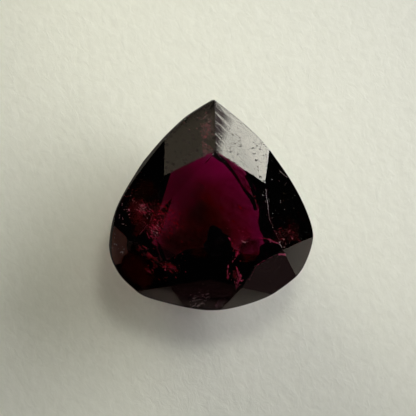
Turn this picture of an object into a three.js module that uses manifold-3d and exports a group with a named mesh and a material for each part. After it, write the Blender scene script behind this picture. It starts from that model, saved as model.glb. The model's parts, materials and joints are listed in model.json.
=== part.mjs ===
// A loose faceted tourmaline: one wide pear-shaped stone, lying on the flat at the bottom of its pavilion.
//
// Units are millimetres. The stone is laid out in its cutting frame, with z = 0 at the top of the girdle,
// +Z out of the table and +Y towards the tip. It is cut as a lapidary cuts it: a pear-shaped preform, then
// one flat plane for each facet. Last, it is turned so that the flat it rests on lies at z = 0.
//
// Azimuths are measured anticlockwise from +X, slopes are measured away from the plane of the table, and
// both are in degrees.

import * as THREE from 'three';
import { mergeVertices } from 'three/addons/utils/BufferGeometryUtils.js';
import Module from 'manifold-3d';

const wasm = await Module();
wasm.setup();

// Heights of the three zones, from the table down to the flat at the bottom.
const CROWN_HEIGHT = 1.5;
const GIRDLE_THICKNESS = 0.7;
const PAVILION_DEPTH = 4.05;

// Girdle outline, clockwise from the tip. It was shaped by eye, so the two flanks are not quite alike.
const TIP = [0.12, 6.55];
const GIRDLE_OUTLINE = [
  TIP,
  [2.42, 4.7],
  [4.02, 2.92],
  [5.36, 1.12],
  [6.25, -0.6],
  [6.56, -1.98],
  [6.18, -3.35],
  [5.34, -4.46],
  [3.12, -5.89],
  [0, -6.52],
  [-3.68, -5.79],
  [-4.9, -5.03],
  [-5.8, -4],
  [-6.16, -2.6],
  [-5.7, 0],
  [-3.52, 3.38],
  [-1.95, 5.16],
  [-0.95, 5.92],
];
const OUTLINE_STEPS = 160;

// The wall of the girdle leans: it moves this far towards +X and +Y for each millimetre of height.
const GIRDLE_LEAN = [0.12, -0.04];

// The table is a hexagon with one corner under the tip. Corners run clockwise from that one.
const TABLE_CORNERS = [
  [0.1, 3.35],
  [3.42, -0.82],
  [2.6, -3.68],
  [-0.25, -4.54],
  [-3.08, -3.88],
  [-3.88, -0.92],
];

// Crown mains run from a table corner down to the girdle. Two of them share the corner under the tip.
const CROWN_MAINS = [
  { corner: 0, azimuth: 45, slope: 26 },
  { corner: 1, azimuth: 18, slope: 40 },
  { corner: 2, azimuth: -53, slope: 36.5 },
  { corner: 3, azimuth: -90, slope: 40.5 },
  { corner: 4, azimuth: -138, slope: 38.5 },
  { corner: 5, azimuth: 154, slope: 41 },
  { corner: 0, azimuth: 130, slope: 25 },
];

// One star along each table edge. Star i lies between crown mains i and i + 1.
const STAR_SLOPES = [18, 8, 22.5, 20, 12, 17.5];

// Steep break facets round the head, each falling from the outer point of a star to the girdle.
const CROWN_BREAKS = [
  { star: 1, azimuth: -14.5, slope: 45.5 },
  { star: 2, azimuth: -74, slope: 49.5 },
  { star: 3, azimuth: -111, slope: 52 },
  { star: 4, azimuth: -175.5, slope: 51.5 },
];

// Upper pavilion facets. The reach is how far out a facet lies at the lower edge of the girdle.
const UPPER_PAVILION = [
  { azimuth: 47, slope: 56.5, reach: 4.8 },
  { azimuth: 33, slope: 51, reach: 5.05 },
  { azimuth: 16, slope: 46, reach: 5.95 },
  { azimuth: -14, slope: 44.5, reach: 7.05 },
  { azimuth: -50, slope: 51.5, reach: 6.85 },
  { azimuth: -72, slope: 48, reach: 6.7 },
  { azimuth: -92, slope: 48, reach: 6.5 },
  { azimuth: -117, slope: 52, reach: 6.7 },
  { azimuth: -145, slope: 48, reach: 7 },
  { azimuth: 172, slope: 49, reach: 6.4 },
  { azimuth: 158, slope: 47.5, reach: 5.35 },
  { azimuth: 126, slope: 53, reach: 5.05 },
];

// Lower pavilion facets, shallow enough to look through. The reach is measured at the full depth.
const LOWER_PAVILION = [
  { azimuth: 30, slope: 25, reach: 0.7 },
  { azimuth: -20, slope: 28, reach: 2.1 },
  { azimuth: -88, slope: 43, reach: 2.5 },
  { azimuth: -122, slope: 25, reach: 2.7 },
  { azimuth: -175, slope: 22, reach: 2.1 },
  { azimuth: 150, slope: 22, reach: 0.7 },
];

// The flat at the bottom of the pavilion, a little out of level with the table.
const RESTING_FLAT = { azimuth: -150, slope: 3, centre: [-0.4, -1] };

const STONE_COLOUR = 0x4a0a2c;
const PREFORM_MARGIN = 1;
const CUTTER_SIZE = 40;
const MERGE_DISTANCE = 1e-5;

const UP = new THREE.Vector3(0, 0, 1);
const DOWN = new THREE.Vector3(0, 0, -1);

// The plane of a facet, facing out. The side is 1 on the crown and -1 on the pavilion.
function facetPlane(azimuth, slope, point, side) {
  const turn = THREE.MathUtils.degToRad(azimuth);
  const lean = THREE.MathUtils.degToRad(slope);
  const normal = new THREE.Vector3(
    Math.cos(turn) * Math.sin(lean),
    Math.sin(turn) * Math.sin(lean),
    side * Math.cos(lean),
  );
  return new THREE.Plane().setFromNormalAndCoplanarPoint(normal, point);
}

// The point that lies a given reach out from the axis, in the direction of an azimuth.
function reachPoint(azimuth, reach, z) {
  const turn = THREE.MathUtils.degToRad(azimuth);
  return new THREE.Vector3(reach * Math.cos(turn), reach * Math.sin(turn), z);
}

// The point where three planes meet.
function meetPoint(a, b, c) {
  const normals = new THREE.Matrix3().set(...a.normal, ...b.normal, ...c.normal);
  return new THREE.Vector3(-a.constant, -b.constant, -c.constant).applyMatrix3(normals.invert());
}

function crownPlanes() {
  const corners = TABLE_CORNERS.map(([x, y]) => new THREE.Vector3(x, y, CROWN_HEIGHT));
  const mains = CROWN_MAINS.map((main) => facetPlane(main.azimuth, main.slope, corners[main.corner], 1));
  const stars = corners.map((corner, i) => {
    const edge = corners[(i + 1) % corners.length].clone().sub(corner);
    const outward = THREE.MathUtils.radToDeg(Math.atan2(edge.x, -edge.y));
    return facetPlane(outward, STAR_SLOPES[i], corner, 1);
  });
  const breaks = CROWN_BREAKS.map(({ star, azimuth, slope }) => {
    const point = meetPoint(stars[star], mains[star], mains[star + 1]);
    return facetPlane(azimuth, slope, point, 1);
  });
  return [...mains, ...stars, ...breaks];
}

function pavilionPlanes() {
  const girdleBottom = -GIRDLE_THICKNESS;
  const deepest = girdleBottom - PAVILION_DEPTH;
  const tier = (facets, z) => facets.map(({ azimuth, slope, reach }) => (
    facetPlane(azimuth, slope, reachPoint(azimuth, reach, z), -1)
  ));
  return [...tier(UPPER_PAVILION, girdleBottom), ...tier(LOWER_PAVILION, deepest)];
}

function restingPlane() {
  const { azimuth, slope, centre } = RESTING_FLAT;
  const point = new THREE.Vector3(centre[0], centre[1], -GIRDLE_THICKNESS - PAVILION_DEPTH);
  return facetPlane(azimuth, slope, point, -1);
}

// A closed geometry as a solid, with its shared vertices merged.
function toSolid(geometry) {
  geometry.deleteAttribute('normal');
  geometry.deleteAttribute('uv');
  const merged = mergeVertices(geometry, MERGE_DISTANCE);
  const mesh = new wasm.Mesh({
    numProp: 3,
    vertProperties: new Float32Array(merged.attributes.position.array),
    triVerts: new Uint32Array(merged.index.array),
  });
  return new wasm.Manifold(mesh);
}

// The pear-shaped block before faceting. Its top is already the table.
function preform() {
  const points = [...GIRDLE_OUTLINE, TIP].map(([x, y]) => new THREE.Vector2(x, y));
  const outline = new THREE.SplineCurve(points).getSpacedPoints(OUTLINE_STEPS);
  outline.pop();
  const depth = CROWN_HEIGHT + GIRDLE_THICKNESS + PAVILION_DEPTH + PREFORM_MARGIN;
  const block = new THREE.ExtrudeGeometry(new THREE.Shape(outline), { depth, bevelEnabled: false });
  block.translate(0, 0, CROWN_HEIGHT - depth);
  block.applyMatrix4(new THREE.Matrix4().makeShear(0, 0, 0, 0, ...GIRDLE_LEAN));
  return toSolid(block);
}

// Everything on the outer side of a plane, out to well past the stone.
function cutter(plane) {
  const block = new THREE.BoxGeometry(CUTTER_SIZE, CUTTER_SIZE, CUTTER_SIZE);
  block.translate(0, 0, CUTTER_SIZE / 2);
  block.applyQuaternion(new THREE.Quaternion().setFromUnitVectors(UP, plane.normal));
  const foot = plane.normal.clone().multiplyScalar(-plane.constant);
  block.translate(foot.x, foot.y, foot.z);
  return toSolid(block);
}

// The faceted stone. Its triangles share no vertices, so that each facet is shaded flat.
function cutStone() {
  const planes = [...crownPlanes(), ...pavilionPlanes(), restingPlane()];
  const solid = planes.reduce((stone, plane) => stone.subtract(cutter(plane)), preform());
  const { vertProperties, triVerts } = solid.getMesh();
  const geometry = new THREE.BufferGeometry();
  geometry.setAttribute('position', new THREE.BufferAttribute(vertProperties, 3));
  geometry.setIndex(new THREE.BufferAttribute(triVerts, 1));
  const faceted = geometry.toNonIndexed();
  faceted.computeVertexNormals();
  return faceted;
}

// Turns the stone onto its resting flat, with the middle of its footprint over the origin.
function layDown(stone) {
  stone.quaternion.setFromUnitVectors(restingPlane().normal, DOWN);
  const box = new THREE.Box3().setFromObject(stone, true);
  const centre = box.getCenter(new THREE.Vector3());
  stone.position.set(-centre.x, -centre.y, -box.min.z);
}

const material = new THREE.MeshStandardMaterial({ color: STONE_COLOUR, roughness: 0.05, metalness: 0 });
const stone = new THREE.Mesh(cutStone(), material);
stone.name = 'tourmaline';
layDown(stone);

const tourmaline = new THREE.Group();
tourmaline.add(stone);

export default tourmaline;
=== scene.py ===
"""Looks for the loose tourmaline: the polished stone with its inclusions, a paper floor, lights and camera.

Lengths are metres in the scene. Points inside the stone are given in millimetres in its cutting frame, with
z = 0 at the top of the girdle, +Z out of the table and +Y towards the tip, and place() turns them into scene
points.
"""

import json
import math
import random

import bmesh
import bpy
from mathutils import Matrix, Vector
from mathutils.bvhtree import BVHTree


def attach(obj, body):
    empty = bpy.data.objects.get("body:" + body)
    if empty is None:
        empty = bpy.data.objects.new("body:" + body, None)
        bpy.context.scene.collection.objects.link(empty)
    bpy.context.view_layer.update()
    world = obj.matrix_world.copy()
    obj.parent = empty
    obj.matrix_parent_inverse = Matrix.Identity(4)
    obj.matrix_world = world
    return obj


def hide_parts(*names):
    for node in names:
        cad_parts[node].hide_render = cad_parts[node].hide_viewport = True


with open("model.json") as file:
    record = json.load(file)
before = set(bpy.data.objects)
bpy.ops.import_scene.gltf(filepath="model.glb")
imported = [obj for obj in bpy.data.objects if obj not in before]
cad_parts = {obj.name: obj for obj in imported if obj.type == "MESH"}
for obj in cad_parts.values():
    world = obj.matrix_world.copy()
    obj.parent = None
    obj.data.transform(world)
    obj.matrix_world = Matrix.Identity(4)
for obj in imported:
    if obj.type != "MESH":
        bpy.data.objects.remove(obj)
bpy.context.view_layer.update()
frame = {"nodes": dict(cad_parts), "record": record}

MM = 0.001
UP = Vector((0, 0, 1))

# The table mount's point in the cutting frame, in millimetres.
TABLE_POINT = Vector((-0.1, -1.0, 1.5))


TABLE = next(m for m in frame["record"]["mounts"] if m["name"] == "table")
TURN = UP.rotation_difference(Vector(TABLE["axis"])).to_matrix()
HEART = Vector(TABLE["pos_m"]) - TURN @ (TABLE_POINT * MM)


def place(x, y, z):
    """A point of the cutting frame, in millimetres, as a point of the scene."""
    return HEART + TURN @ (Vector((x, y, z)) * MM)


def direction(azimuth, elevation):
    """A unit vector in the scene. Azimuth and elevation are degrees in the cutting frame."""
    a, e = math.radians(azimuth), math.radians(elevation)
    return TURN @ Vector((math.cos(a) * math.cos(e), math.sin(a) * math.cos(e), math.sin(e)))


def link(name, data):
    obj = bpy.data.objects.new(name, data)
    bpy.context.scene.collection.objects.link(obj)
    return obj


# ---------------------------------------------------------------- materials

GEM_IOR = 1.63
GEM_ABSORPTION = (0.76, 0.0, 0.58, 1.0)
GEM_DENSITY = 1350.0


class Nodes:
    """A short way to add nodes to one material."""

    def __init__(self, name):
        self.material = bpy.data.materials.new(name)
        self.material.use_nodes = True
        self.tree = self.material.node_tree
        self.tree.nodes.clear()
        self.out = self.add("OutputMaterial")

    def add(self, kind, **values):
        node = self.tree.nodes.new("ShaderNode" + kind)
        for key, value in values.items():
            setattr(node, key, value)
        return node

    def link(self, a, b):
        self.tree.links.new(a, b)

    def put(self, socket, value):
        if isinstance(value, bpy.types.NodeSocket):
            self.link(value, socket)
        else:
            socket.default_value = value

    def math(self, operation, a, b=0.0, clamp=False):
        node = self.add("Math", operation=operation, use_clamp=clamp)
        self.put(node.inputs[0], a)
        self.put(node.inputs[1], b)
        return node.outputs[0]

    def mapped(self, scale=(1, 1, 1), turn=0.0):
        """Object coordinates in millimetres, turned about Z so that X runs along turn, then scaled."""
        coords = self.add("TexCoord")
        turned = self.add("Mapping")
        self.link(coords.outputs["Object"], turned.inputs["Vector"])
        turned.inputs["Rotation"].default_value = (0, 0, -math.radians(turn))
        scaled = self.add("Mapping")
        self.link(turned.outputs["Vector"], scaled.inputs["Vector"])
        scaled.inputs["Scale"].default_value = [s / MM for s in scale]
        return scaled.outputs["Vector"]

    def cutting_axis(self, axis):
        """The distance from the cutting frame's origin along one of its axes, in millimetres."""
        coords = self.add("TexCoord")
        dot = self.add("VectorMath", operation="DOT_PRODUCT")
        self.link(coords.outputs["Object"], dot.inputs[0])
        along = TURN @ Vector(axis)
        dot.inputs[1].default_value = along / MM
        return self.math("SUBTRACT", dot.outputs["Value"], HEART.dot(along) / MM)

    def noise(self, vector, scale, detail=2.0, roughness=0.5, distortion=0.0):
        node = self.add("TexNoise")
        self.link(vector, node.inputs["Vector"])
        node.inputs["Scale"].default_value = scale
        node.inputs["Detail"].default_value = detail
        node.inputs["Roughness"].default_value = roughness
        node.inputs["Distortion"].default_value = distortion
        return node.outputs["Fac"]

    def remap(self, value, low, high, to_low=0.0, to_high=1.0):
        node = self.add("MapRange", clamp=True)
        self.put(node.inputs["Value"], value)
        node.inputs["From Min"].default_value = low
        node.inputs["From Max"].default_value = high
        node.inputs["To Min"].default_value = to_low
        node.inputs["To Max"].default_value = to_high
        return node.outputs["Result"]

    def mix_colour(self, factor, a, b):
        node = self.add("Mix", data_type="RGBA")
        self.put(node.inputs["Factor"], factor)
        self.put(node.inputs[6], a)
        self.put(node.inputs[7], b)
        return node.outputs[2]

    def bump(self, height, distance):
        node = self.add("Bump")
        self.link(height, node.inputs["Height"])
        node.inputs["Distance"].default_value = distance
        node.inputs["Strength"].default_value = 1.0
        return node.outputs["Normal"]


def add_absorption(n):
    absorb = n.add("VolumeAbsorption")
    absorb.inputs["Color"].default_value = GEM_ABSORPTION
    absorb.inputs["Density"].default_value = GEM_DENSITY
    n.link(absorb.outputs[0], n.out.inputs["Volume"])


CLEAR_WHITE = (1, 1, 1)
MOST_SCUFFED = 0.05
# Dull dark marks: wear on both tips, and painted shade where the strokes close up at the right tip's ridge.
DULL_MARK_AND_SHADE = (0.025, 0.016, 0.017, 1)


def gem_material(name, tint=CLEAR_WHITE, relief=None, marks_and_shade=None, rough=None):
    """Clear coloured crystal, with a relief in millimetres, dull dark marks (wear, and painted shade at the
    right tip's ridge) and a roughness where given.

    The tint is a painted reflection: it colours and dims what the facet mirrors.
    """
    n = Nodes(name)
    gem = n.add("BsdfPrincipled")
    gem.inputs["Base Color"].default_value = (*CLEAR_WHITE, 1)
    gem.inputs["Transmission Weight"].default_value = 1.0
    gem.inputs["IOR"].default_value = GEM_IOR
    gem.inputs["Specular Tint"].default_value = (*tint, 1)
    scuffed = n.remap(n.noise(n.mapped(), 3.0, 6.0, 0.6), 0.62, 0.8, 0.0, MOST_SCUFFED)
    n.link(n.math("MAXIMUM", scuffed, rough(n)) if rough else scuffed, gem.inputs["Roughness"])
    if relief is not None:
        n.link(n.bump(relief(n), MM), gem.inputs["Normal"])
    surface = gem.outputs[0]
    if marks_and_shade is not None:
        dull = n.add("BsdfPrincipled")
        dull.inputs["Base Color"].default_value = DULL_MARK_AND_SHADE
        dull.inputs["Roughness"].default_value = 0.7
        dull.inputs["Specular IOR Level"].default_value = 0.1
        marked = n.add("MixShader")
        n.link(marks_and_shade(n), marked.inputs["Fac"])
        n.link(surface, marked.inputs[1])
        n.link(dull.outputs[0], marked.inputs[2])
        surface = marked.outputs[0]
    n.link(surface, n.out.inputs["Surface"])
    add_absorption(n)
    return n.material


def pits(n, scale, rarity, depth):
    """Scattered small pits with soft walls, as a height below the facet."""
    wall = 0.06
    return n.remap(n.noise(n.mapped(), scale, 2.0, 0.5), rarity, rarity + wall, 0.0, -depth)


def lines(n, turn, depth, scale=14.0, stretch=0.05):
    """Fine straight polishing lines along the direction that turn gives."""
    return n.math("MULTIPLY", n.noise(n.mapped((stretch, 1, 1), turn), scale, 3.0, 0.6), depth)


def specks(n, turn, scale, size, share, stretch=1.0):
    """Scattered small marks of one size, at most one in each cell and only in a share of the cells."""
    cells = n.add("TexVoronoi")
    n.link(n.mapped((stretch, 1, 1), turn), cells.inputs["Vector"])
    cells.inputs["Scale"].default_value = scale
    chance = n.add("SeparateColor")
    n.link(cells.outputs["Color"], chance.inputs["Color"])
    present = n.math("LESS_THAN", chance.outputs["Red"], share)
    core = 0.6 * size
    return n.math("MULTIPLY", n.remap(cells.outputs["Distance"], core, size, 1.0, 0.0), present)


# The worn ridge of the right tip facet, where dull strokes paint shade: the heading of its strokes in
# degrees, where it starts and ends along
# +Y, and how wide it is there, in millimetres.
STROKE_HEADING = -46
RIDGE_START, RIDGE_END = 3.5, 5.9
RIDGE_START_WIDTH, RIDGE_END_WIDTH = 0.6, 1.75
RIDGE_ROUGHNESS = 0.15


def right_tip_wear_and_shade(n):
    """How worn the right tip facet is and how far the painted shade of its ridge reaches, from none to one at
    its ridge.
    """
    x, y = n.cutting_axis((1, 0, 0)), n.cutting_axis((0, 1, 0))
    width = n.remap(y, RIDGE_START, RIDGE_END, RIDGE_START_WIDTH, RIDGE_END_WIDTH)
    return n.math("SUBTRACT", 1.0, n.math("DIVIDE", x, width), clamp=True)


def right_tip_relief(n):
    scored = n.math("MULTIPLY", lines(n, STROKE_HEADING, 0.006, 9.0, 0.05), right_tip_wear_and_shade(n))
    return n.math("ADD", scored, lines(n, -12, 0.0012, 7.0, 0.2))


def right_tip_rough(n):
    return n.math("MULTIPLY", right_tip_wear_and_shade(n), RIDGE_ROUGHNESS)


def right_tip_marks_and_shade(n):
    """Dull specks, plainer away from the point, and slanting strokes that close up towards the ridge into
    painted shade.
    """
    plainer = n.remap(n.cutting_axis((0, 1, 0)), 6.0, 2.5, 0.25, 0.72)
    small = specks(n, -10, 7.0, 0.37, 0.4, 0.6)
    long = specks(n, 12, 4.6, 0.3, 0.35, 0.3)
    spots = n.math("MULTIPLY", n.math("MAXIMUM", small, long), plainer)
    drawn_out = n.noise(n.mapped((0.06, 1, 1), STROKE_HEADING), 6.5, 2.0, 0.6)
    strokes = n.remap(drawn_out, 0.44, 0.56, 0.35, 1.6)
    # Painted shade: near the ridge the strokes close up into a dull dark cover.
    hatching_and_ridge_shade = n.math("MULTIPLY", strokes, right_tip_wear_and_shade(n), clamp=True)
    return n.math("MAXIMUM", spots, hatching_and_ridge_shade)


def left_tip_relief(n):
    return lines(n, -25, 0.002, 8.0, 0.25)


def left_tip_marks(n):
    return n.math("MULTIPLY", specks(n, -35, 4.6, 0.46, 0.45, 0.6), 0.7)


def facet_relief(n):
    return n.math("ADD", pits(n, 5.0, 0.7, 0.003), lines(n, 70, 0.0003, 9.0, 0.1))


def lower_crown_relief(n):
    return n.math("ADD", pits(n, 6.0, 0.66, 0.003), lines(n, 20, 0.0006, 7.0, 0.3))


def ground_relief(n):
    return n.math("MULTIPLY", n.noise(n.mapped(), 12.0, 4.0, 0.7), 0.01)


GIRDLE_DARK, GIRDLE_LIGHT = (0.004, 0.003, 0.003, 1), (0.016, 0.01, 0.009, 1)


def girdle_material():
    """The unpolished girdle: brown, ground and dull."""
    n = Nodes("girdle_tourmaline")
    ground = n.add("BsdfPrincipled")
    tone = n.remap(n.noise(n.mapped(), 4.0, 4.0, 0.6), 0.35, 0.7)
    n.link(n.mix_colour(tone, GIRDLE_DARK, GIRDLE_LIGHT), ground.inputs["Base Color"])
    ground.inputs["Specular IOR Level"].default_value = 0.03
    n.link(n.remap(tone, 0.0, 1.0, 0.5, 0.7), ground.inputs["Roughness"])
    n.link(n.bump(ground_relief(n), MM), ground.inputs["Normal"])
    n.link(ground.outputs[0], n.out.inputs["Surface"])
    add_absorption(n)
    return n.material


PAPER_SHADE, PAPER_LIGHT = (0.80, 0.805, 0.72, 1), (0.845, 0.85, 0.77, 1)
FIBRE_HEADING = 25
PAPER_RELIEF = 0.05 * MM


def paper_material():
    """Uncoated felt-marked paper, with fine fibres that mostly run one way."""
    n = Nodes("paper")
    sheet = n.add("BsdfPrincipled")
    sheet.inputs["Roughness"].default_value = 0.85
    sheet.inputs["Specular IOR Level"].default_value = 0.2
    fibres = n.noise(n.mapped((2.4, 1.5, 1), FIBRE_HEADING), 1.0, 5.0, 0.62, 0.6)
    felt = n.noise(n.mapped((0.6, 0.45, 1)), 1.0, 3.0, 0.5, 0.3)
    tone = n.remap(fibres, 0.3, 0.7)
    n.link(n.mix_colour(tone, PAPER_SHADE, PAPER_LIGHT), sheet.inputs["Base Color"])
    height = n.math("ADD", n.math("MULTIPLY", fibres, 0.45), felt)
    n.link(n.bump(height, PAPER_RELIEF), sheet.inputs["Normal"])
    n.link(sheet.outputs[0], n.out.inputs["Surface"])
    return n.material


# ---------------------------------------------------------------- the stone

WELD = 0.0005 * MM
FLAT_WITHIN = math.radians(0.2)
FACET_EDGE = math.radians(7)
WORN_EDGE = 0.008 * MM
GROUND_RIM = 0.03 * MM
# Faces smaller than this are worn edges, which are shaded smoothly.
FACET_AREA = 1.0 * MM * MM

# Painted reflection tints: dimmer and warmer on the right tip, painted shade on the lower left facets, dimmer
# and rose on the lower right ones.
WARM_REFLECTION_TINT = (1, 0.97, 0.84)
SHADED_REFLECTION_TINT = (0.2, 0.05, 0.04)
ROSE_REFLECTION_TINT = (0.86, 0.66, 0.62)

# The finishes, in the order of the stone's materials, and the facets that have them. A facet is told by the
# azimuth and the tilt of its normal in the cutting frame, in degrees.
# LOWER_LEFT and LOWER_RIGHT are shaded copies of the polished finish, set apart mostly by their painted
# reflection tints.
PLAIN, WALL, RIGHT_TIP, LEFT_TIP, LOWER_LEFT, LOWER_RIGHT = range(6)
FACET_FINISHES = [
    (RIGHT_TIP, (35, 55), (23, 29)),
    (LEFT_TIP, (122, 138), (22, 28)),
    (LOWER_LEFT, (-180, -85), (30, 56)),
    (LOWER_RIGHT, (-85, -5), (30, 56)),
    (WALL, (-180, 180), (55, 116)),
]


def facet_finish(normal):
    azimuth = math.degrees(math.atan2(normal.y, normal.x))
    tilt = math.degrees(math.acos(max(-1.0, min(1.0, normal.z))))
    for finish, azimuths, tilts in FACET_FINISHES:
        if azimuths[0] <= azimuth <= azimuths[1] and tilts[0] <= tilt <= tilts[1]:
            return finish
    return PLAIN


def is_ground_rim(edge):
    """An edge where the ground girdle runs a little over a tip or a lower facet of the crown."""
    finishes = {facet_finish(TURN.transposed() @ face.normal) for face in edge.link_faces}
    return WALL in finishes and not finishes.isdisjoint({RIGHT_TIP, LEFT_TIP, LOWER_LEFT, LOWER_RIGHT})


def is_facet_edge(edge):
    return len(edge.link_faces) == 2 and edge.calc_face_angle() > FACET_EDGE


def surface_tree(mesh):
    return BVHTree.FromPolygons([v.co for v in mesh.vertices], [p.vertices for p in mesh.polygons])


def wear_edges(bm, chosen, width, segments):
    bm.normal_update()
    bmesh.ops.bevel(
        bm,
        geom=[e for e in bm.edges if chosen(e)],
        offset=width,
        offset_type="OFFSET",
        segments=segments,
        profile=0.5,
        affect="EDGES",
        clamp_overlap=False,
    )


def pull_back(bm, surface):
    """Moves what stands out of the surface back onto it."""
    for vert in bm.verts:
        near, normal, _, _ = surface.find_nearest(vert.co)
        if (vert.co - near).dot(normal) > 0:
            vert.co = near


def stone_materials():
    """One material for each finish, in their order."""
    return (
        gem_material("polished_tourmaline", relief=facet_relief),
        girdle_material(),
        gem_material(
            "right_tip_tourmaline",
            tint=WARM_REFLECTION_TINT,
            relief=right_tip_relief,
            marks_and_shade=right_tip_marks_and_shade,
            rough=right_tip_rough,
        ),
        gem_material("left_tip_tourmaline", relief=left_tip_relief, marks_and_shade=left_tip_marks),
        gem_material("lower_left_shaded_tourmaline", tint=SHADED_REFLECTION_TINT, relief=facet_relief),
        gem_material("lower_right_tourmaline", tint=ROSE_REFLECTION_TINT, relief=lower_crown_relief),
    )


def polished_stone(node):
    """The CAD stone with its facets as single faces and its edges very slightly worn."""
    bm = bmesh.new()
    bm.from_mesh(node.data)
    bmesh.ops.remove_doubles(bm, verts=bm.verts, dist=WELD)
    bmesh.ops.dissolve_limit(bm, angle_limit=FLAT_WITHIN, verts=bm.verts, edges=bm.edges)
    wear_edges(bm, is_ground_rim, GROUND_RIM, segments=1)
    wear_edges(bm, is_facet_edge, WORN_EDGE, segments=2)
    pull_back(bm, surface_tree(node.data))
    bmesh.ops.remove_doubles(bm, verts=bm.verts, dist=WELD)
    bm.normal_update()
    turned_back = TURN.transposed()
    for face in bm.faces:
        face.smooth = face.calc_area() < FACET_AREA
        face.material_index = facet_finish(turned_back @ face.normal)
    mesh = bpy.data.meshes.new("faceted_stone")
    bm.to_mesh(mesh)
    bm.free()
    mesh.set_sharp_from_angle(angle=FACET_EDGE)
    stone = link("faceted_stone", mesh)
    for material in stone_materials():
        mesh.materials.append(material)
    return stone


stone = polished_stone(frame["nodes"]["tourmaline"])
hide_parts("tourmaline")
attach(stone, "root")

# ---------------------------------------------------------------- inclusions

RNG = random.Random(7)
DOWN = TURN @ Vector((0, 0, -1))
ABOVE = 5.0
LEAST_DEPTH = 0.012 * MM
CROWN = surface_tree(stone.data)


def under(x, y, depth):
    """The scene point at a depth below the top of the stone, in millimetres, or None outside it."""
    hit = CROWN.ray_cast(place(x, y, ABOVE), DOWN)[0]
    return hit + DOWN * (depth * MM) if hit else None


def kept_inside(point):
    """The point itself, or the nearest one just under the facets when it is too close to them or outside."""
    near, normal, _, _ = CROWN.find_nearest(point)
    return near - normal * LEAST_DEPTH if (near - point).dot(normal) < LEAST_DEPTH else point


def inclusion_material(name, colour, roughness, cover=None, metallic=0.0, gloss=0.2):
    """A healed crack or a crystal fleck.

    It is partly glossy, lets some light through and is clear where its cover runs out.
    """
    n = Nodes(name)
    face = n.add("BsdfPrincipled")
    tone = n.remap(n.noise(n.mapped(), 9.0, 3.0, 0.6), 0.35, 0.65)
    paler = [c + (1 - c) * 0.1 for c in colour]
    tinted = n.mix_colour(tone, (*colour, 1), (*paler, 1))
    n.link(tinted, face.inputs["Base Color"])
    face.inputs["Roughness"].default_value = roughness
    face.inputs["Metallic"].default_value = metallic
    face.inputs["Specular IOR Level"].default_value = gloss
    back = n.add("BsdfTranslucent")
    n.link(tinted, back.inputs["Color"])
    both = n.add("MixShader")
    both.inputs["Fac"].default_value = 0.4
    n.link(face.outputs[0], both.inputs[1])
    n.link(back.outputs[0], both.inputs[2])
    surface = both.outputs[0]
    if cover is not None:
        clear = n.add("BsdfTransparent")
        mixed = n.add("MixShader")
        n.link(cover(n), mixed.inputs["Fac"])
        n.link(clear.outputs[0], mixed.inputs[1])
        n.link(surface, mixed.inputs[2])
        surface = mixed.outputs[0]
    n.link(surface, n.out.inputs["Surface"])
    return n.material


def mist_material(name, colour, cover):
    """A cloud of inclusions too fine to see, or a sheet of painted shade, lit through from both sides."""
    n = Nodes(name)
    tone = n.remap(n.noise(n.mapped(), 5.0, 4.0, 0.65), 0.3, 0.7)
    tinted = n.mix_colour(tone, (*[c * 0.6 for c in colour], 1), (*colour, 1))
    face = n.add("BsdfDiffuse")
    back = n.add("BsdfTranslucent")
    both = n.add("MixShader")
    both.inputs["Fac"].default_value = 0.5
    clear = n.add("BsdfTransparent")
    mixed = n.add("MixShader")
    n.link(tinted, face.inputs["Color"])
    n.link(tinted, back.inputs["Color"])
    n.link(face.outputs[0], both.inputs[1])
    n.link(back.outputs[0], both.inputs[2])
    n.link(cover(n), mixed.inputs["Fac"])
    n.link(clear.outputs[0], mixed.inputs[1])
    n.link(both.outputs[0], mixed.inputs[2])
    n.link(mixed.outputs[0], n.out.inputs["Surface"])
    return n.material


def faded(n, amount, most):
    fade = n.add("Attribute", attribute_name="fade").outputs["Fac"]
    return n.math("MULTIPLY", n.math("MULTIPLY", amount, fade), most, clamp=True)


def haze_cover(most, scale=1.4, turn=0.0, thin=0.15):
    """Cover of a cloud of inclusions too fine to see, or of a sheet of painted shade, from thin to one times
    the most.
    """

    def cover(n):
        cloud = n.noise(n.mapped((0.6, 1, 1), turn), scale, 5.0, 0.62, 0.6)
        return faded(n, n.remap(cloud, 0.3, 0.72, thin, 1.0), most)

    return cover


def feather_cover(most, turn, stretch=0.3, scale=5.0, start=0.52, reach=0.12):
    """Cover of a healed crack: drawn-out streaks that come and go."""

    def cover(n):
        drawn_out = n.noise(n.mapped((stretch, 1, 1), turn), scale, 4.0, 0.7, 0.5)
        streaks = n.remap(drawn_out, start, start + reach)
        patches = n.remap(n.noise(n.mapped(), 1.1, 2.0, 0.5, 0.5), 0.36, 0.6)
        return faded(n, n.math("MULTIPLY", streaks, patches), most)

    return cover


def painted_shade_cover(n):
    """Cover of a sheet of painted shade: nearly full."""
    return n.remap(n.noise(n.mapped(), 2.0, 3.0, 0.6), 0.3, 0.45, 0.85, 1.0)


def broken_cover(n):
    """Cover of a crack that is open in some places and shut in others."""
    return n.remap(n.noise(n.mapped(), 7.0, 3.0, 0.6), 0.4, 0.52)


def rides_in_stone(name, bm, material):
    mesh = bpy.data.meshes.new(name)
    bm.to_mesh(mesh)
    bm.free()
    mesh.materials.append(material)
    obj = link(name, mesh)
    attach(obj, "root")


def smooth_path(points, steps):
    """A Catmull-Rom curve through points of any number of values."""
    points = [Vector(p) for p in points]
    padded = [2 * points[0] - points[1], *points, 2 * points[-1] - points[-2]]
    path = []
    for k in range(1, len(padded) - 2):
        a, b, c, d = padded[k - 1 : k + 3]
        for step in range(steps):
            t = step / steps
            bend = (2 * a - 5 * b + 4 * c - d) * t * t
            turn = (3 * b - a - 3 * c + d) * t**3
            path.append(0.5 * (2 * b + (c - a) * t + bend + turn))
    path.append(points[-1])
    return path


VEIL_ACROSS = 14
VEIL_STEPS = 8
VEIL_WAVE = 0.05


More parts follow.
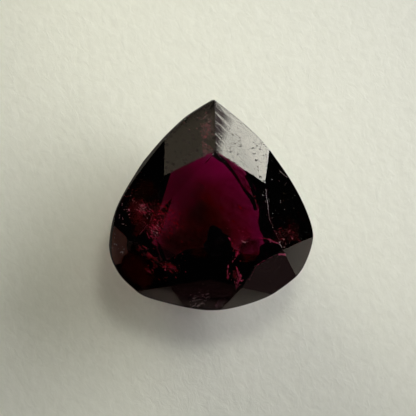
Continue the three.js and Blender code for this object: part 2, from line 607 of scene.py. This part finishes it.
def veil(name, path, depth, soft, material):
    """A thin sheet that follows a path of x, y and half width under the facets, ragged and fading at its rim.

    Its depth below the facets waves a little. Soft is the share of its half width over which it fades.
    """
    path = smooth_path(path, VEIL_STEPS)
    phase = [RNG.uniform(0, 2 * math.pi) for _ in range(4)]
    bm = bmesh.new()
    fade = bm.verts.layers.float.new("fade")
    last = None
    for k, point in enumerate(path):
        ahead = path[min(k + 1, len(path) - 1)] - path[max(k - 1, 0)]
        side = Vector((-ahead.y, ahead.x)).normalized()
        s = k / (len(path) - 1)
        half = point.z * (1 + 0.12 * math.sin(11 * s + phase[0]) + 0.08 * math.sin(23 * s + phase[1]))
        row = []
        for j in range(VEIL_ACROSS + 1):
            t = 2 * j / VEIL_ACROSS - 1
            wave = VEIL_WAVE * math.sin(9 * s + phase[2]) * math.cos(4 * t + phase[3])
            spot = Vector((point.x, point.y)) + side * half * t
            found = under(spot.x, spot.y, depth + wave)
            vert = bm.verts.new(kept_inside(found)) if found else None
            if vert:
                rim = 1 - max(abs(t), abs(2 * s - 1) ** 3)
                vert[fade] = max(0.0, min(1.0, rim / soft)) if soft else 1.0
            row.append(vert)
        if last:
            for j in range(VEIL_ACROSS):
                corners = (last[j], last[j + 1], row[j + 1], row[j])
                if all(corners):
                    bm.faces.new(corners).smooth = True
        last = row
    bmesh.ops.delete(bm, geom=[v for v in bm.verts if not v.link_faces], context="VERTS")
    rides_in_stone(name, bm, material)


THREAD_STEPS = 9
THREAD_RAGGED = 0.6
THREAD_SWERVE = 0.2
THREAD_THICKNESS = 0.4


def add_thread(bm, path, width):
    """A closed flat thread along a path of x, y and depth, ragged and tapered at both ends."""
    path = [under(*p) for p in smooth_path(path, THREAD_STEPS)]
    path = [p for p in path if p]
    if len(path) < 3:
        return
    last = None
    for k, point in enumerate(path):
        ahead = path[min(k + 1, len(path) - 1)] - path[max(k - 1, 0)]
        side = ahead.cross(DOWN).normalized()
        t = k / (len(path) - 1)
        taper = math.sin(math.pi * (0.04 + 0.92 * t)) ** 0.6
        half = 0.5 * width * MM * taper * RNG.uniform(1 - THREAD_RAGGED, 1 + THREAD_RAGGED)
        middle = point + side * width * MM * RNG.uniform(-THREAD_SWERVE, THREAD_SWERVE)
        thick = DOWN * half * THREAD_THICKNESS
        ring = [bm.verts.new(middle + offset) for offset in (side * half, thick, -side * half, -thick)]
        if last:
            for a in range(4):
                bm.faces.new((last[a], last[(a + 1) % 4], ring[(a + 1) % 4], ring[a]))
        else:
            bm.faces.new(ring)
        last = ring
    bm.faces.new(last[::-1])


FLECK_THICKNESS = 0.12
FLECK_TILT = 0.3


def add_fleck(bm, centre, size):
    """One small irregular flake, closed, facing roughly up."""
    normal = (Vector([RNG.gauss(0, FLECK_TILT) for _ in range(3)]) - DOWN).normalized()
    a = normal.orthogonal().normalized()
    b = normal.cross(a)
    turn = Matrix.Rotation(RNG.uniform(0, math.pi), 3, normal)
    a, b = turn @ a, turn @ b
    count = RNG.randint(5, 7)
    long_way = RNG.uniform(1.0, 2.4)
    ring = []
    for k in range(count):
        angle = 2 * math.pi * k / count
        u = math.cos(angle) * long_way * RNG.uniform(0.6, 1.0)
        v = math.sin(angle) * RNG.uniform(0.5, 1.0)
        ring.append(bm.verts.new(kept_inside(centre + (a * u + b * v) * (size * MM / 2))))
    rise = normal * (size * MM * FLECK_THICKNESS)
    tops = [bm.verts.new(kept_inside(centre + rise * sign)) for sign in (1, -1)]
    for k in range(count):
        one, two = ring[k], ring[(k + 1) % count]
        bm.faces.new((one, two, tops[0]))
        bm.faces.new((two, one, tops[1]))


WHITISH = (1.0, 0.88, 0.84)
PINK = (1.0, 0.2, 0.32)
HOT_PINK = (1.0, 0.13, 0.3)
CRIMSON = (0.85, 0.015, 0.06)
DULL_CRIMSON = (0.6, 0.02, 0.07)
DEEP_RED = (0.75, 0.004, 0.012)
MAUVE = (0.42, 0.13, 0.22)
# The black of the sheets of painted shade.
SHADE_BLACK = (0.004, 0.003, 0.003)


def mist(name, path, depth, soft, colour, cover):
    veil(name, path, depth, soft, mist_material(name, colour, cover))


def feather(name, path, depth, soft, colour, roughness, cover):
    veil(name, path, depth, soft, inclusion_material(name, colour, roughness, cover))


# Clouds and healed cracks. Their paths hold x, y and half width in millimetres. Each one draws random
# numbers, so their order matters.

# Red zones of the heart of the stone, and of its left side.
mist(
    "red_cloud",
    [(-4.6, 0.2, 0.4), (-3.6, -0.6, 1.0), (-2.2, -1.5, 1.5), (-1.0, -2.3, 1.1), (-0.2, -2.9, 0.5)],
    depth=0.5, soft=0.7, colour=DEEP_RED, cover=haze_cover(0.4, scale=1.8, turn=-40),
)
mist(
    "heart_cloud",
    [(-1.3, 1.2, 0.6), (0.1, 0.5, 1.8), (1.2, -0.6, 2.1), (1.75, -1.7, 1.8), (1.9, -2.8, 1.0)],
    depth=0.6, soft=0.8, colour=(0.4, 0.001, 0.004),
    cover=haze_cover(0.85, scale=1.8, turn=-40, thin=0.35),
)
mist(
    "left_flank_cloud",
    [(-5.5, -0.3, 0.4), (-4.9, 0.3, 0.7), (-4.2, 0.8, 0.7), (-3.3, 1.1, 0.5)],
    depth=0.3, soft=0.6, colour=(0.15, 0.0008, 0.003),
    cover=haze_cover(0.4, scale=1.8, turn=35, thin=0.3),
)
mist(
    "lower_left_cloud",
    [(-5.7, -2.6, 0.4), (-5.1, -3.4, 0.8), (-4.5, -4.2, 0.8), (-3.7, -4.9, 0.5)],
    depth=0.2, soft=0.5, colour=(0.7, 0.012, 0.006), cover=haze_cover(0.62, scale=1.8, turn=-30),
)

# The broken band between the left flank and the heart, and a black sheet of painted shade beside it.
feather(
    "red_band",
    [
        (-5.0, -2.15, 0.08), (-4.6, -2.5, 0.2), (-4.0, -3.0, 0.28),
        (-3.4, -3.4, 0.22), (-2.8, -3.7, 0.3), (-2.0, -4.0, 0.2),
    ],
    depth=0.2, soft=0.5, colour=(0.6, 0.01, 0.04), roughness=0.4,
    cover=feather_cover(0.9, turn=-33, stretch=0.25, scale=6.0, start=0.44, reach=0.15),
)
mist(
    "band_shade",
    [
        (-5.5, -1.35, 0.05), (-4.9, -1.95, 0.2), (-4.2, -2.4, 0.25),
        (-3.4, -2.75, 0.3), (-2.6, -3.15, 0.25), (-1.9, -3.5, 0.2),
    ],
    depth=0.25, soft=0.4, colour=SHADE_BLACK, cover=haze_cover(1.0, scale=3.0, turn=-35),
)

# Painted shade inside the window: dark sheets, and a dark red strip and black sheets along its right edge.
mist(
    "core_shade",
    [(-4.8, -1.9, 0.15), (-4.25, -1.05, 0.28), (-3.8, -0.4, 0.15)],
    depth=0.3, soft=0, colour=(0.03, 0.0008, 0.003), cover=painted_shade_cover,
)
mist(
    "window_shade",
    [(-3.6, -1.9, 0.3), (-2.4, -2.2, 0.7), (-1.2, -2.0, 0.8), (-0.3, -1.6, 0.3)],
    depth=0.25, soft=0.8, colour=SHADE_BLACK, cover=haze_cover(0.6, scale=2.0, turn=-35),
)
mist(
    "edge_shade_strip",
    [
        (0.7, 2.85, 0.08), (1.2, 2.3, 0.22), (1.75, 1.6, 0.3),
        (2.1, 1.0, 0.18), (2.5, 0.35, 0.18), (2.75, -0.3, 0.15),
    ],
    depth=0.3, soft=0.2, colour=(0.25, 0.002, 0.02), cover=haze_cover(0.95, scale=3.0, turn=-50),
)
mist(
    "edge_shade_line",
    [
        (0.2, 3.15, 0.03), (0.55, 2.8, 0.1), (1.05, 2.2, 0.09), (1.45, 1.65, 0.06),
        (1.85, 1.0, 0.09), (2.35, 0.35, 0.11), (2.6, -0.3, 0.1),
    ],
    depth=0.15, soft=0, colour=SHADE_BLACK, cover=painted_shade_cover,
)
mist(
    "edge_shade",
    [(1.95, 1.85, 0.08), (2.4, 1.3, 0.25), (2.75, 0.6, 0.3), (3.0, 0.0, 0.28), (3.1, -0.6, 0.25)],
    depth=0.15, soft=0, colour=SHADE_BLACK, cover=painted_shade_cover,
)

# The bright healed crack at the left: its cloud, its core, its streaks and its speckle.
mist(
    "core_cloud",
    [(-5.0, 0.3, 0.3), (-4.5, -0.3, 0.75), (-4.0, -1.0, 0.8), (-3.4, -1.7, 0.5)],
    depth=0.3, soft=0.8, colour=CRIMSON, cover=haze_cover(0.6, scale=2.6, turn=-45, thin=0.4),
)
feather(
    "core_feather",
    [(-4.45, 0.15, 0.2), (-4.1, -0.3, 0.38), (-3.75, -0.75, 0.25)],
    depth=0.12, soft=0.7, colour=(1.0, 0.5, 0.52), roughness=0.3,
    cover=feather_cover(0.9, turn=-50, stretch=0.5, scale=10.0, start=0.54, reach=0.1),
)
feather(
    "streak_feather",
    [(-4.3, -0.8, 0.3), (-3.6, -1.5, 0.5), (-3.1, -2.3, 0.35)],
    depth=0.2, soft=0.6, colour=PINK, roughness=0.3,
    cover=feather_cover(0.8, turn=-48, stretch=0.35, scale=9.0, start=0.56),
)
feather(
    "speckle_feather",
    [(-3.6, 0.4, 0.4), (-2.5, -0.9, 0.9), (-1.7, -2.3, 0.7)],
    depth=0.3, soft=0.6, colour=(1.0, 0.04, 0.12), roughness=0.3,
    cover=feather_cover(0.8, turn=-60, stretch=0.6, scale=9.0, start=0.53, reach=0.08),
)

# Faint clouds and streaks near the right point.
mist(
    "right_lower_cloud",
    [(3.5, -1.8, 0.3), (4.5, -1.9, 0.65), (5.6, -1.6, 0.5)],
    depth=0.3, soft=0.6, colour=(0.24, 0.009, 0.016),
    cover=haze_cover(0.5, scale=2.4, turn=-25, thin=0.3),
)
mist(
    "right_flank_cloud",
    [(4.5, 1.0, 0.3), (4.9, -0.3, 0.7), (5.2, -1.2, 0.5)],
    depth=0.3, soft=0.6, colour=(0.03, 0.013, 0.002), cover=haze_cover(0.3, scale=1.6, turn=60, thin=0.3),
)
feather(
    "right_lower_feather",
    [(3.5, -1.7, 0.15), (4.5, -2.0, 0.4), (5.5, -1.7, 0.3)],
    depth=0.2, soft=0.6, colour=PINK, roughness=0.4,
    cover=feather_cover(0.25, turn=-30, stretch=0.15, scale=9.0, start=0.54),
)

# A dark crimson sheet of painted shade over the lower edge of the window, and crimson and mauve hazes near
# the head of the stone.
mist(
    "low_crimson_shade",
    [(1.8, -2.2, 0.55), (2.25, -2.8, 0.85), (2.4, -3.5, 0.6)],
    depth=0.3, soft=0.45, colour=(0.1, 0.001, 0.004),
    cover=haze_cover(0.95, scale=2.2, turn=30, thin=0.7),
)
mist(
    "crimson_patch",
    [(1.2, -3.95, 0.1), (1.35, -4.3, 0.25), (1.4, -4.6, 0.12)],
    depth=0.2, soft=0.4, colour=CRIMSON, cover=haze_cover(0.6, scale=3.0),
)
mist(
    "lower_mauve_cloud",
    [(-2.9, -5.5, 0.5), (-1.2, -5.7, 0.9), (0.3, -5.7, 0.9), (1.7, -5.5, 0.5)],
    depth=0.15, soft=0.3, colour=MAUVE, cover=haze_cover(0.2, scale=2.2, turn=10),
)

# An opaque dark brown sheet of painted shade just under the facets of the left point, and hazes just under
# those of the tip and of the head.
mist(
    "left_point_shade",
    [(-6.15, -1.3, 0.12), (-5.85, -2.3, 0.65), (-5.9, -3.1, 0.45), (-5.75, -3.6, 0.25)],
    depth=0.08, soft=0, colour=(0.17, 0.055, 0.04), cover=painted_shade_cover,
)
mist(
    "tip_cloud",
    [(-0.2, 5.9, 0.15), (-0.3, 5.1, 0.45), (-0.32, 4.5, 0.5), (-0.25, 4.0, 0.3)],
    depth=0.1, soft=0.9, colour=(0.9, 0.45, 0.46), cover=haze_cover(0.42, scale=4.0, turn=-40, thin=0.45),
)
mist(
    "tip_patch",
    [(-0.02, 3.42, 0.03), (-0.35, 3.47, 0.28), (-0.68, 3.45, 0.5)],
    depth=0.1, soft=0, colour=(1.0, 0.33, 0.38), cover=haze_cover(0.6, scale=4.0, turn=0, thin=0.6),
)
mist(
    "mauve_patch",
    [(0.25, -6.25, 0.12), (0.55, -6.0, 0.28), (0.85, -5.8, 0.15)],
    depth=0.1, soft=0.3, colour=(0.9, 0.25, 0.45), cover=haze_cover(0.45, scale=2.0, turn=40, thin=0.6),
)

# Black sheets of painted shade in the dark zones of the window.
mist(
    "painted_shade_wedge",
    [(-0.15, -1.25, 0.08), (0.05, -1.7, 0.5), (0.25, -2.4, 0.8), (0.3, -3.1, 0.75)],
    depth=0.2, soft=0, colour=SHADE_BLACK, cover=painted_shade_cover,
)
mist(
    "painted_shade_sliver",
    [(2.85, -0.3, 0.1), (3.05, -1.0, 0.3), (3.3, -1.7, 0.38), (3.55, -2.2, 0.4)],
    depth=0.15, soft=0, colour=SHADE_BLACK, cover=painted_shade_cover,
)
mist(
    "painted_shade_corner",
    [(2.8, -3.6, 0.15), (3.1, -3.0, 0.38), (3.5, -2.55, 0.4), (4.0, -2.6, 0.25)],
    depth=0.15, soft=0, colour=SHADE_BLACK, cover=painted_shade_cover,
)

# Open cracks and surface scratches: path of x, y and depth, and width, in millimetres.
PINK_THREADS = [
    ([(0.9, -3.65, 0.2), (0.85, -4.1, 0.15), (0.9, -4.55, 0.2)], 0.08),
    ([(0.82, -4.2, 0.15), (0.86, -4.35, 0.15), (0.84, -4.5, 0.15)], 0.12),
    ([(1.4, -3.75, 0.25), (1.48, -4.1, 0.15), (1.62, -4.4, 0.15), (1.5, -4.8, 0.2), (1.42, -5.2, 0.2)], 0.08),
    ([(1.5, -4.1, 0.12), (1.6, -4.3, 0.1), (1.66, -4.5, 0.12)], 0.17),
    ([(1.6, -4.5, 0.15), (1.75, -4.62, 0.12), (1.86, -4.55, 0.15)], 0.08),
    ([(1.4, -2.7, 0.25), (1.44, -2.95, 0.2), (1.4, -3.15, 0.25)], 0.2),
    ([(0.8, -1.85, 0.25), (1.0, -2.1, 0.2), (1.2, -2.4, 0.25)], 0.08),
    ([(2.8, -2.0, 0.12), (3.3, -2.05, 0.08), (3.7, -2.25, 0.08), (4.05, -2.35, 0.12)], 0.08),
    ([(3.45, -2.1, 0.08), (3.5, -2.3, 0.08)], 0.05),
    ([(2.2, -4.6, 0.1), (2.65, -3.7, 0.1), (3.3, -3.3, 0.1), (4.05, -2.95, 0.1)], 0.02),
    ([(3.95, -3.0, 0.1), (4.25, -3.0, 0.08), (4.5, -3.05, 0.1)], 0.12),
]
PALE_THREADS = [
    ([(1.55, -2.0, 0.12), (1.75, -2.2, 0.08), (1.95, -2.27, 0.06), (2.1, -2.22, 0.08)], 0.05),
    ([(1.9, -2.25, 0.06), (2.08, -2.25, 0.06)], 0.07),
    ([(4.2, 2.2, 0.05), (4.5, 1.95, 0.05), (4.8, 1.75, 0.05)], 0.03),
    ([(-1.35, -5.8, 0.05), (-1.2, -5.72, 0.05), (-1.05, -5.7, 0.05)], 0.045),
    ([(-0.8, -5.55, 0.05), (-0.6, -5.5, 0.05), (-0.4, -5.52, 0.05)], 0.04),
    ([(-0.65, -5.62, 0.05), (-0.45, -5.52, 0.05), (-0.2, -5.4, 0.05)], 0.045),
    ([(-0.45, -5.75, 0.05), (-0.3, -5.65, 0.05), (-0.2, -5.6, 0.05)], 0.05),
    ([(-0.95, -5.85, 0.05), (-0.8, -5.8, 0.05), (-0.65, -5.82, 0.05)], 0.03),
    ([(-0.6, -5.95, 0.05), (-0.45, -5.85, 0.05), (-0.35, -5.82, 0.05)], 0.035),
    ([(-1.3, -6.3, 0.05), (-1.15, -6.22, 0.05), (-1.0, -6.18, 0.05)], 0.04),
    ([(-1.0, -6.28, 0.05), (-0.8, -6.18, 0.05), (-0.6, -6.08, 0.05)], 0.06),
    ([(-0.85, -6.15, 0.05), (-0.65, -6.05, 0.05), (-0.45, -6.05, 0.05)], 0.05),
]

# Clusters of fine strands: middle x and y, spread in x and y, heading and its spread in degrees, depth,
# count, half lengths and widths. Lengths are in millimetres.
PINK_STRANDS = [
    ((-4.25, -0.15), (0.2, 0.22), -45, 25, 0.12, 22, (0.05, 0.14), (0.015, 0.035)),
    ((-3.6, -1.5), (0.22, 0.28), -45, 14, 0.15, 22, (0.06, 0.22), (0.015, 0.04)),
    ((1.5, -4.4), (0.1, 0.22), 95, 18, 0.15, 10, (0.04, 0.1), (0.02, 0.04)),
    ((1.35, -3.4), (0.1, 0.25), 80, 20, 0.2, 6, (0.04, 0.1), (0.02, 0.035)),
    ((-3.75, -3.95), (0.15, 0.1), -40, 12, 0.12, 6, (0.08, 0.18), (0.02, 0.05)),
    ((-0.45, 4.8), (0.18, 0.45), -60, 35, 0.05, 34, (0.02, 0.09), (0.012, 0.025)),
]
CRIMSON_STRANDS = [
    ((-2.8, -1.2), (0.5, 0.6), -55, 20, 0.2, 50, (0.04, 0.14), (0.015, 0.035)),
    ((-4.3, -2.75), (0.3, 0.2), -42, 12, 0.15, 8, (0.08, 0.22), (0.015, 0.04)),
    ((-3.0, -3.65), (0.5, 0.16), -28, 16, 0.15, 8, (0.08, 0.25), (0.02, 0.045)),
    ((-2.9, -4.4), (0.3, 0.15), -35, 25, 0.15, 6, (0.05, 0.12), (0.02, 0.04)),
    ((4.7, -1.95), (0.45, 0.22), -20, 22, 0.12, 7, (0.06, 0.22), (0.01, 0.022)),
    ((4.3, -1.4), (0.2, 0.25), 60, 20, 0.12, 3, (0.05, 0.18), (0.01, 0.02)),
    ((2.55, 0.0), (0.06, 0.3), -60, 10, 0.12, 5, (0.05, 0.12), (0.015, 0.03)),
    ((-4.9, 0.9), (0.35, 0.5), 55, 25, 0.12, 8, (0.04, 0.12), (0.01, 0.03)),
]
PALE_STRANDS = [
    ((-0.75, -5.75), (0.35, 0.25), 35, 18, 0.05, 14, (0.03, 0.1), (0.015, 0.025)),
    ((-4.3, -0.2), (0.18, 0.2), -45, 25, 0.08, 26, (0.03, 0.09), (0.015, 0.03)),
    ((-3.6, -1.65), (0.12, 0.18), -48, 12, 0.1, 14, (0.05, 0.15), (0.012, 0.03)),
    ((-0.55, 5.2), (0.2, 0.3), -40, 40, 0.04, 10, (0.02, 0.07), (0.01, 0.02)),
]


STRAND_BEND = 0.15


def scattered(middle, spread):
    """A random place round a middle."""
    return (m + RNG.gauss(0, s) for m, s in zip(middle, spread))


def add_strands(bm, middle, spread, heading, sway, depth, count, reaches, widths):
    for _ in range(count):
        x, y = scattered(middle, spread)
        angle, reach = math.radians(RNG.gauss(heading, sway)), RNG.uniform(*reaches)
        dx, dy = math.cos(angle) * reach, math.sin(angle) * reach
        bend = RNG.uniform(-STRAND_BEND, STRAND_BEND)
        bent = (x - dy * bend, y + dx * bend, depth)
        add_thread(bm, [(x - dx, y - dy, depth), bent, (x + dx, y + dy, depth)], RNG.uniform(*widths))


def cracks(name, threads, strands, material):
    bm = bmesh.new()
    for path, width in threads:
        add_thread(bm, path, width)
    for cluster in strands:
        add_strands(bm, *cluster)
    rides_in_stone(name, bm, material)


pink_crack = inclusion_material("pink_crack", HOT_PINK, 0.3, broken_cover, metallic=0.5, gloss=0.5)
crimson_crack = inclusion_material("crimson_crack", DULL_CRIMSON, 0.4, broken_cover)
pale_scratch = inclusion_material("pale_scratch", WHITISH, 0.35, broken_cover)
cracks("pink_cracks", PINK_THREADS, PINK_STRANDS, pink_crack)
cracks("crimson_cracks", [], CRIMSON_STRANDS, crimson_crack)
cracks("pale_scratches", PALE_THREADS, PALE_STRANDS, pale_scratch)

# Clusters of flecks: middle x and y, spread in x and y, depth, count, smallest and largest size. Lengths are
# in millimetres.
PALE_FLECKS = [
    ((-4.3, -0.2), (0.22, 0.22), 0.1, 30, 0.02, 0.06),
    ((-4.8, 0.3), (0.12, 0.2), 0.12, 6, 0.03, 0.07),
    ((-5.1, -0.4), (0.06, 0.2), 0.12, 8, 0.03, 0.08),
    ((-5.5, -0.05), (0.15, 0.15), 0.1, 4, 0.03, 0.06),
    ((-5.6, -0.9), (0.1, 0.15), 0.1, 8, 0.03, 0.09),
    ((-6.0, -1.75), (0.12, 0.12), 0.05, 6, 0.03, 0.07),
    ((-6.0, -2.45), (0.12, 0.12), 0.05, 8, 0.03, 0.07),
    ((-5.6, -2.8), (0.15, 0.15), 0.05, 8, 0.03, 0.08),
    ((-0.85, -5.75), (0.3, 0.25), 0.05, 30, 0.012, 0.04),
    ((0.9, -5.5), (0.5, 0.3), 0.05, 8, 0.012, 0.03),
    ((3.9, -4.4), (1.0, 0.8), 0.06, 14, 0.01, 0.025),
    ((-0.9, 1.2), (1.3, 1.2), 0.2, 14, 0.012, 0.03),
    ((1.5, -1.4), (0.35, 0.35), 0.2, 8, 0.02, 0.05),
    ((4.4, -2.2), (0.3, 0.25), 0.12, 8, 0.015, 0.045),
    ((4.7, 0.4), (0.5, 1.0), 0.15, 16, 0.01, 0.03),
    ((-4.4, 1.4), (0.7, 0.8), 0.15, 14, 0.01, 0.03),
]
PINK_FLECKS = [
    ((-0.45, 4.9), (0.2, 0.4), 0.05, 30, 0.02, 0.05),
    ((-1.6, 5.2), (0.3, 0.3), 0.06, 8, 0.02, 0.05),
    ((0.9, 5.4), (0.4, 0.4), 0.06, 8, 0.03, 0.06),
    ((-3.5, -1.5), (0.3, 0.35), 0.25, 22, 0.03, 0.08),
    ((-2.8, -1.1), (0.4, 0.45), 0.2, 50, 0.02, 0.06),
    ((-2.4, -1.2), (0.8, 0.9), 0.25, 60, 0.015, 0.04),
    ((-3.0, -3.4), (0.8, 0.25), 0.25, 22, 0.02, 0.07),
    ((-0.6, -1.8), (0.5, 0.5), 0.3, 14, 0.02, 0.05),
    ((1.4, -2.9), (0.2, 0.5), 0.3, 14, 0.02, 0.07),
    ((1.5, -4.5), (0.2, 0.3), 0.2, 16, 0.03, 0.07),
    ((-5.0, 1.0), (0.4, 0.6), 0.15, 14, 0.015, 0.04),
]


FLECK_DEPTHS = (0.7, 1.6)


def scatter(name, clusters, material):
    """Flecks in clusters, each at a random share of its cluster's depth."""
    bm = bmesh.new()
    for middle, spread, depth, count, small, large in clusters:
        for _ in range(count):
            x, y = scattered(middle, spread)
            spot = under(x, y, depth * RNG.uniform(*FLECK_DEPTHS))
            if spot:
                add_fleck(bm, spot, RNG.uniform(small, large))
    rides_in_stone(name, bm, material)


pale_fleck = inclusion_material("pale_fleck", WHITISH, 0.3)
pink_fleck = inclusion_material("pink_fleck", PINK, 0.3, metallic=0.3, gloss=0.5)
scatter("pale_flecks", PALE_FLECKS, pale_fleck)
scatter("pink_flecks", PINK_FLECKS, pink_fleck)

# ---------------------------------------------------------------- floor

FLOOR_HALF = 0.3
# The paper lies a hair below the resting flat, so that the two faces don't meet.
FLOOR_DROP = 0.02 * MM


def paper_floor():
    mesh = bpy.data.meshes.new("paper_floor")
    h, z = FLOOR_HALF, -FLOOR_DROP
    mesh.from_pydata([(-h, -h, z), (h, -h, z), (h, h, z), (-h, h, z)], [], [(0, 1, 2, 3)])
    mesh.materials.append(paper_material())
    return link("paper_floor", mesh)


paper_floor()

# ---------------------------------------------------------------- lights

# Each light is a soft panel: name, azimuth, elevation, half width and half height in degrees as seen from
# the stone, radiance, distance in metres, spread in degrees, colour.
LIGHTS = [
    ("right_window", 25, 23, 32, 12, 10.2, 0.06, 80, (1.0, 1.0, 1.0)),
    ("right_side_window", 42, 18, 12, 12, 2.2, 0.06, 80, (1.0, 1.0, 1.0)),
    ("left_window", 118, 14, 14, 7, 23.0, 0.05, 60, (1.0, 0.985, 0.8)),
    ("ceiling", 78, 60, 14, 7, 14.0, 0.1, 50, (1.0, 0.99, 0.88)),
    ("left_bounce", 125, 40, 18, 7, 0.5, 0.5, 180, (1.0, 0.84, 0.6)),
    ("front_bounce", -65, 12, 35, 7, 0.16, 0.5, 180, (1.0, 0.7, 0.72)),
]


def panel(name, azimuth, elevation, half_width, half_height, radiance, distance, spread, colour):
    light = bpy.data.lights.new(name, "AREA")
    light.shape = "RECTANGLE"
    light.size = 2 * distance * math.tan(math.radians(half_width)) * math.cos(math.radians(elevation))
    light.size_y = 2 * distance * math.tan(math.radians(half_height))
    half_spread = math.radians(spread) / 2
    narrowing = 1 - half_spread / math.tan(half_spread) if spread < 180 else 1
    light.energy = radiance * narrowing * math.pi * light.size * light.size_y
    light.spread = math.radians(spread)
    light.color = colour
    z = direction(azimuth, elevation)
    x = (TURN @ UP).cross(z).normalized()
    stand = Matrix((x, z.cross(x), z)).transposed().to_4x4()
    stand.translation = HEART + z * distance
    link(name, light).matrix_world = stand


for light in LIGHTS:
    panel(*light)

# Wide panels that face straight down light the far floor. They shine on the paper and not on the polished
# facets.
WASH_COUNT = 6
WASH_REACH = 0.19
WASH_HEIGHT = 0.1
WASH_SIZE = 0.12
WASH_SPREAD = math.radians(120)
WASH_ENERGY = 0.06


def wash(turn):
    light = bpy.data.lights.new("floor_wash", "AREA")
    light.size = WASH_SIZE
    light.energy = WASH_ENERGY
    light.spread = WASH_SPREAD
    stand = link("floor_wash", light)
    stand.location = (WASH_REACH * math.cos(turn), WASH_REACH * math.sin(turn), WASH_HEIGHT)
    stand.visible_glossy = False
    stand.visible_transmission = False


for k in range(WASH_COUNT):
    wash(2 * math.pi * k / WASH_COUNT)

# The room is pale up to the lower of these elevations and dark above the upper one.
HORIZON_LOW, HORIZON_HIGH = math.radians(0.3), math.radians(3)
ROOM_DARK = (0.006, 0.006, 0.006, 1)
HORIZON_PALE = (0.45, 0.45, 0.41, 1)


def add_world():
    """A dark room over a pale horizon."""
    world = bpy.data.worlds.new("studio")
    bpy.context.scene.world = world
    world.use_nodes = True
    tree = world.node_tree
    coords = tree.nodes.new("ShaderNodeTexCoord")
    split = tree.nodes.new("ShaderNodeSeparateXYZ")
    height = tree.nodes.new("ShaderNodeMapRange")
    mix = tree.nodes.new("ShaderNodeMix")
    mix.data_type = "RGBA"
    tree.links.new(coords.outputs["Generated"], split.inputs[0])
    tree.links.new(split.outputs["Z"], height.inputs["Value"])
    height.inputs["From Min"].default_value = math.sin(HORIZON_LOW)
    height.inputs["From Max"].default_value = math.sin(HORIZON_HIGH)
    tree.links.new(height.outputs["Result"], mix.inputs["Factor"])
    mix.inputs[6].default_value = HORIZON_PALE
    mix.inputs[7].default_value = ROOM_DARK
    tree.links.new(mix.outputs[2], tree.nodes["Background"].inputs["Color"])


add_world()

# ---------------------------------------------------------------- camera

CAMERA_DISTANCE = 0.150
CAMERA_LEAN = math.radians(6)
VIEW_WIDTH = 25.8 * MM
AIM_RIGHT = -0.217 * MM
AIM_UP = -0.155 * MM
SENSOR = 36.0
NEAR_CLIP = 1.0 * MM


def add_camera():
    camera = bpy.data.cameras.new("camera")
    camera.sensor_width = SENSOR
    camera.angle = 2 * math.atan(VIEW_WIDTH / 2 / CAMERA_DISTANCE)
    camera.clip_start = NEAR_CLIP
    back = TURN @ Vector((-math.sin(CAMERA_LEAN), 0, math.cos(CAMERA_LEAN)))
    up = TURN @ Vector((0, 1, 0))
    up = (up - up.dot(back) * back).normalized()
    right = up.cross(back)
    stand = Matrix((right, up, back)).transposed().to_4x4()
    stand.translation = HEART + right * AIM_RIGHT + up * AIM_UP + back * CAMERA_DISTANCE
    obj = link("camera", camera)
    obj.matrix_world = stand
    bpy.context.scene.camera = obj


add_camera()
bpy.context.scene.view_settings.view_transform = "Standard"
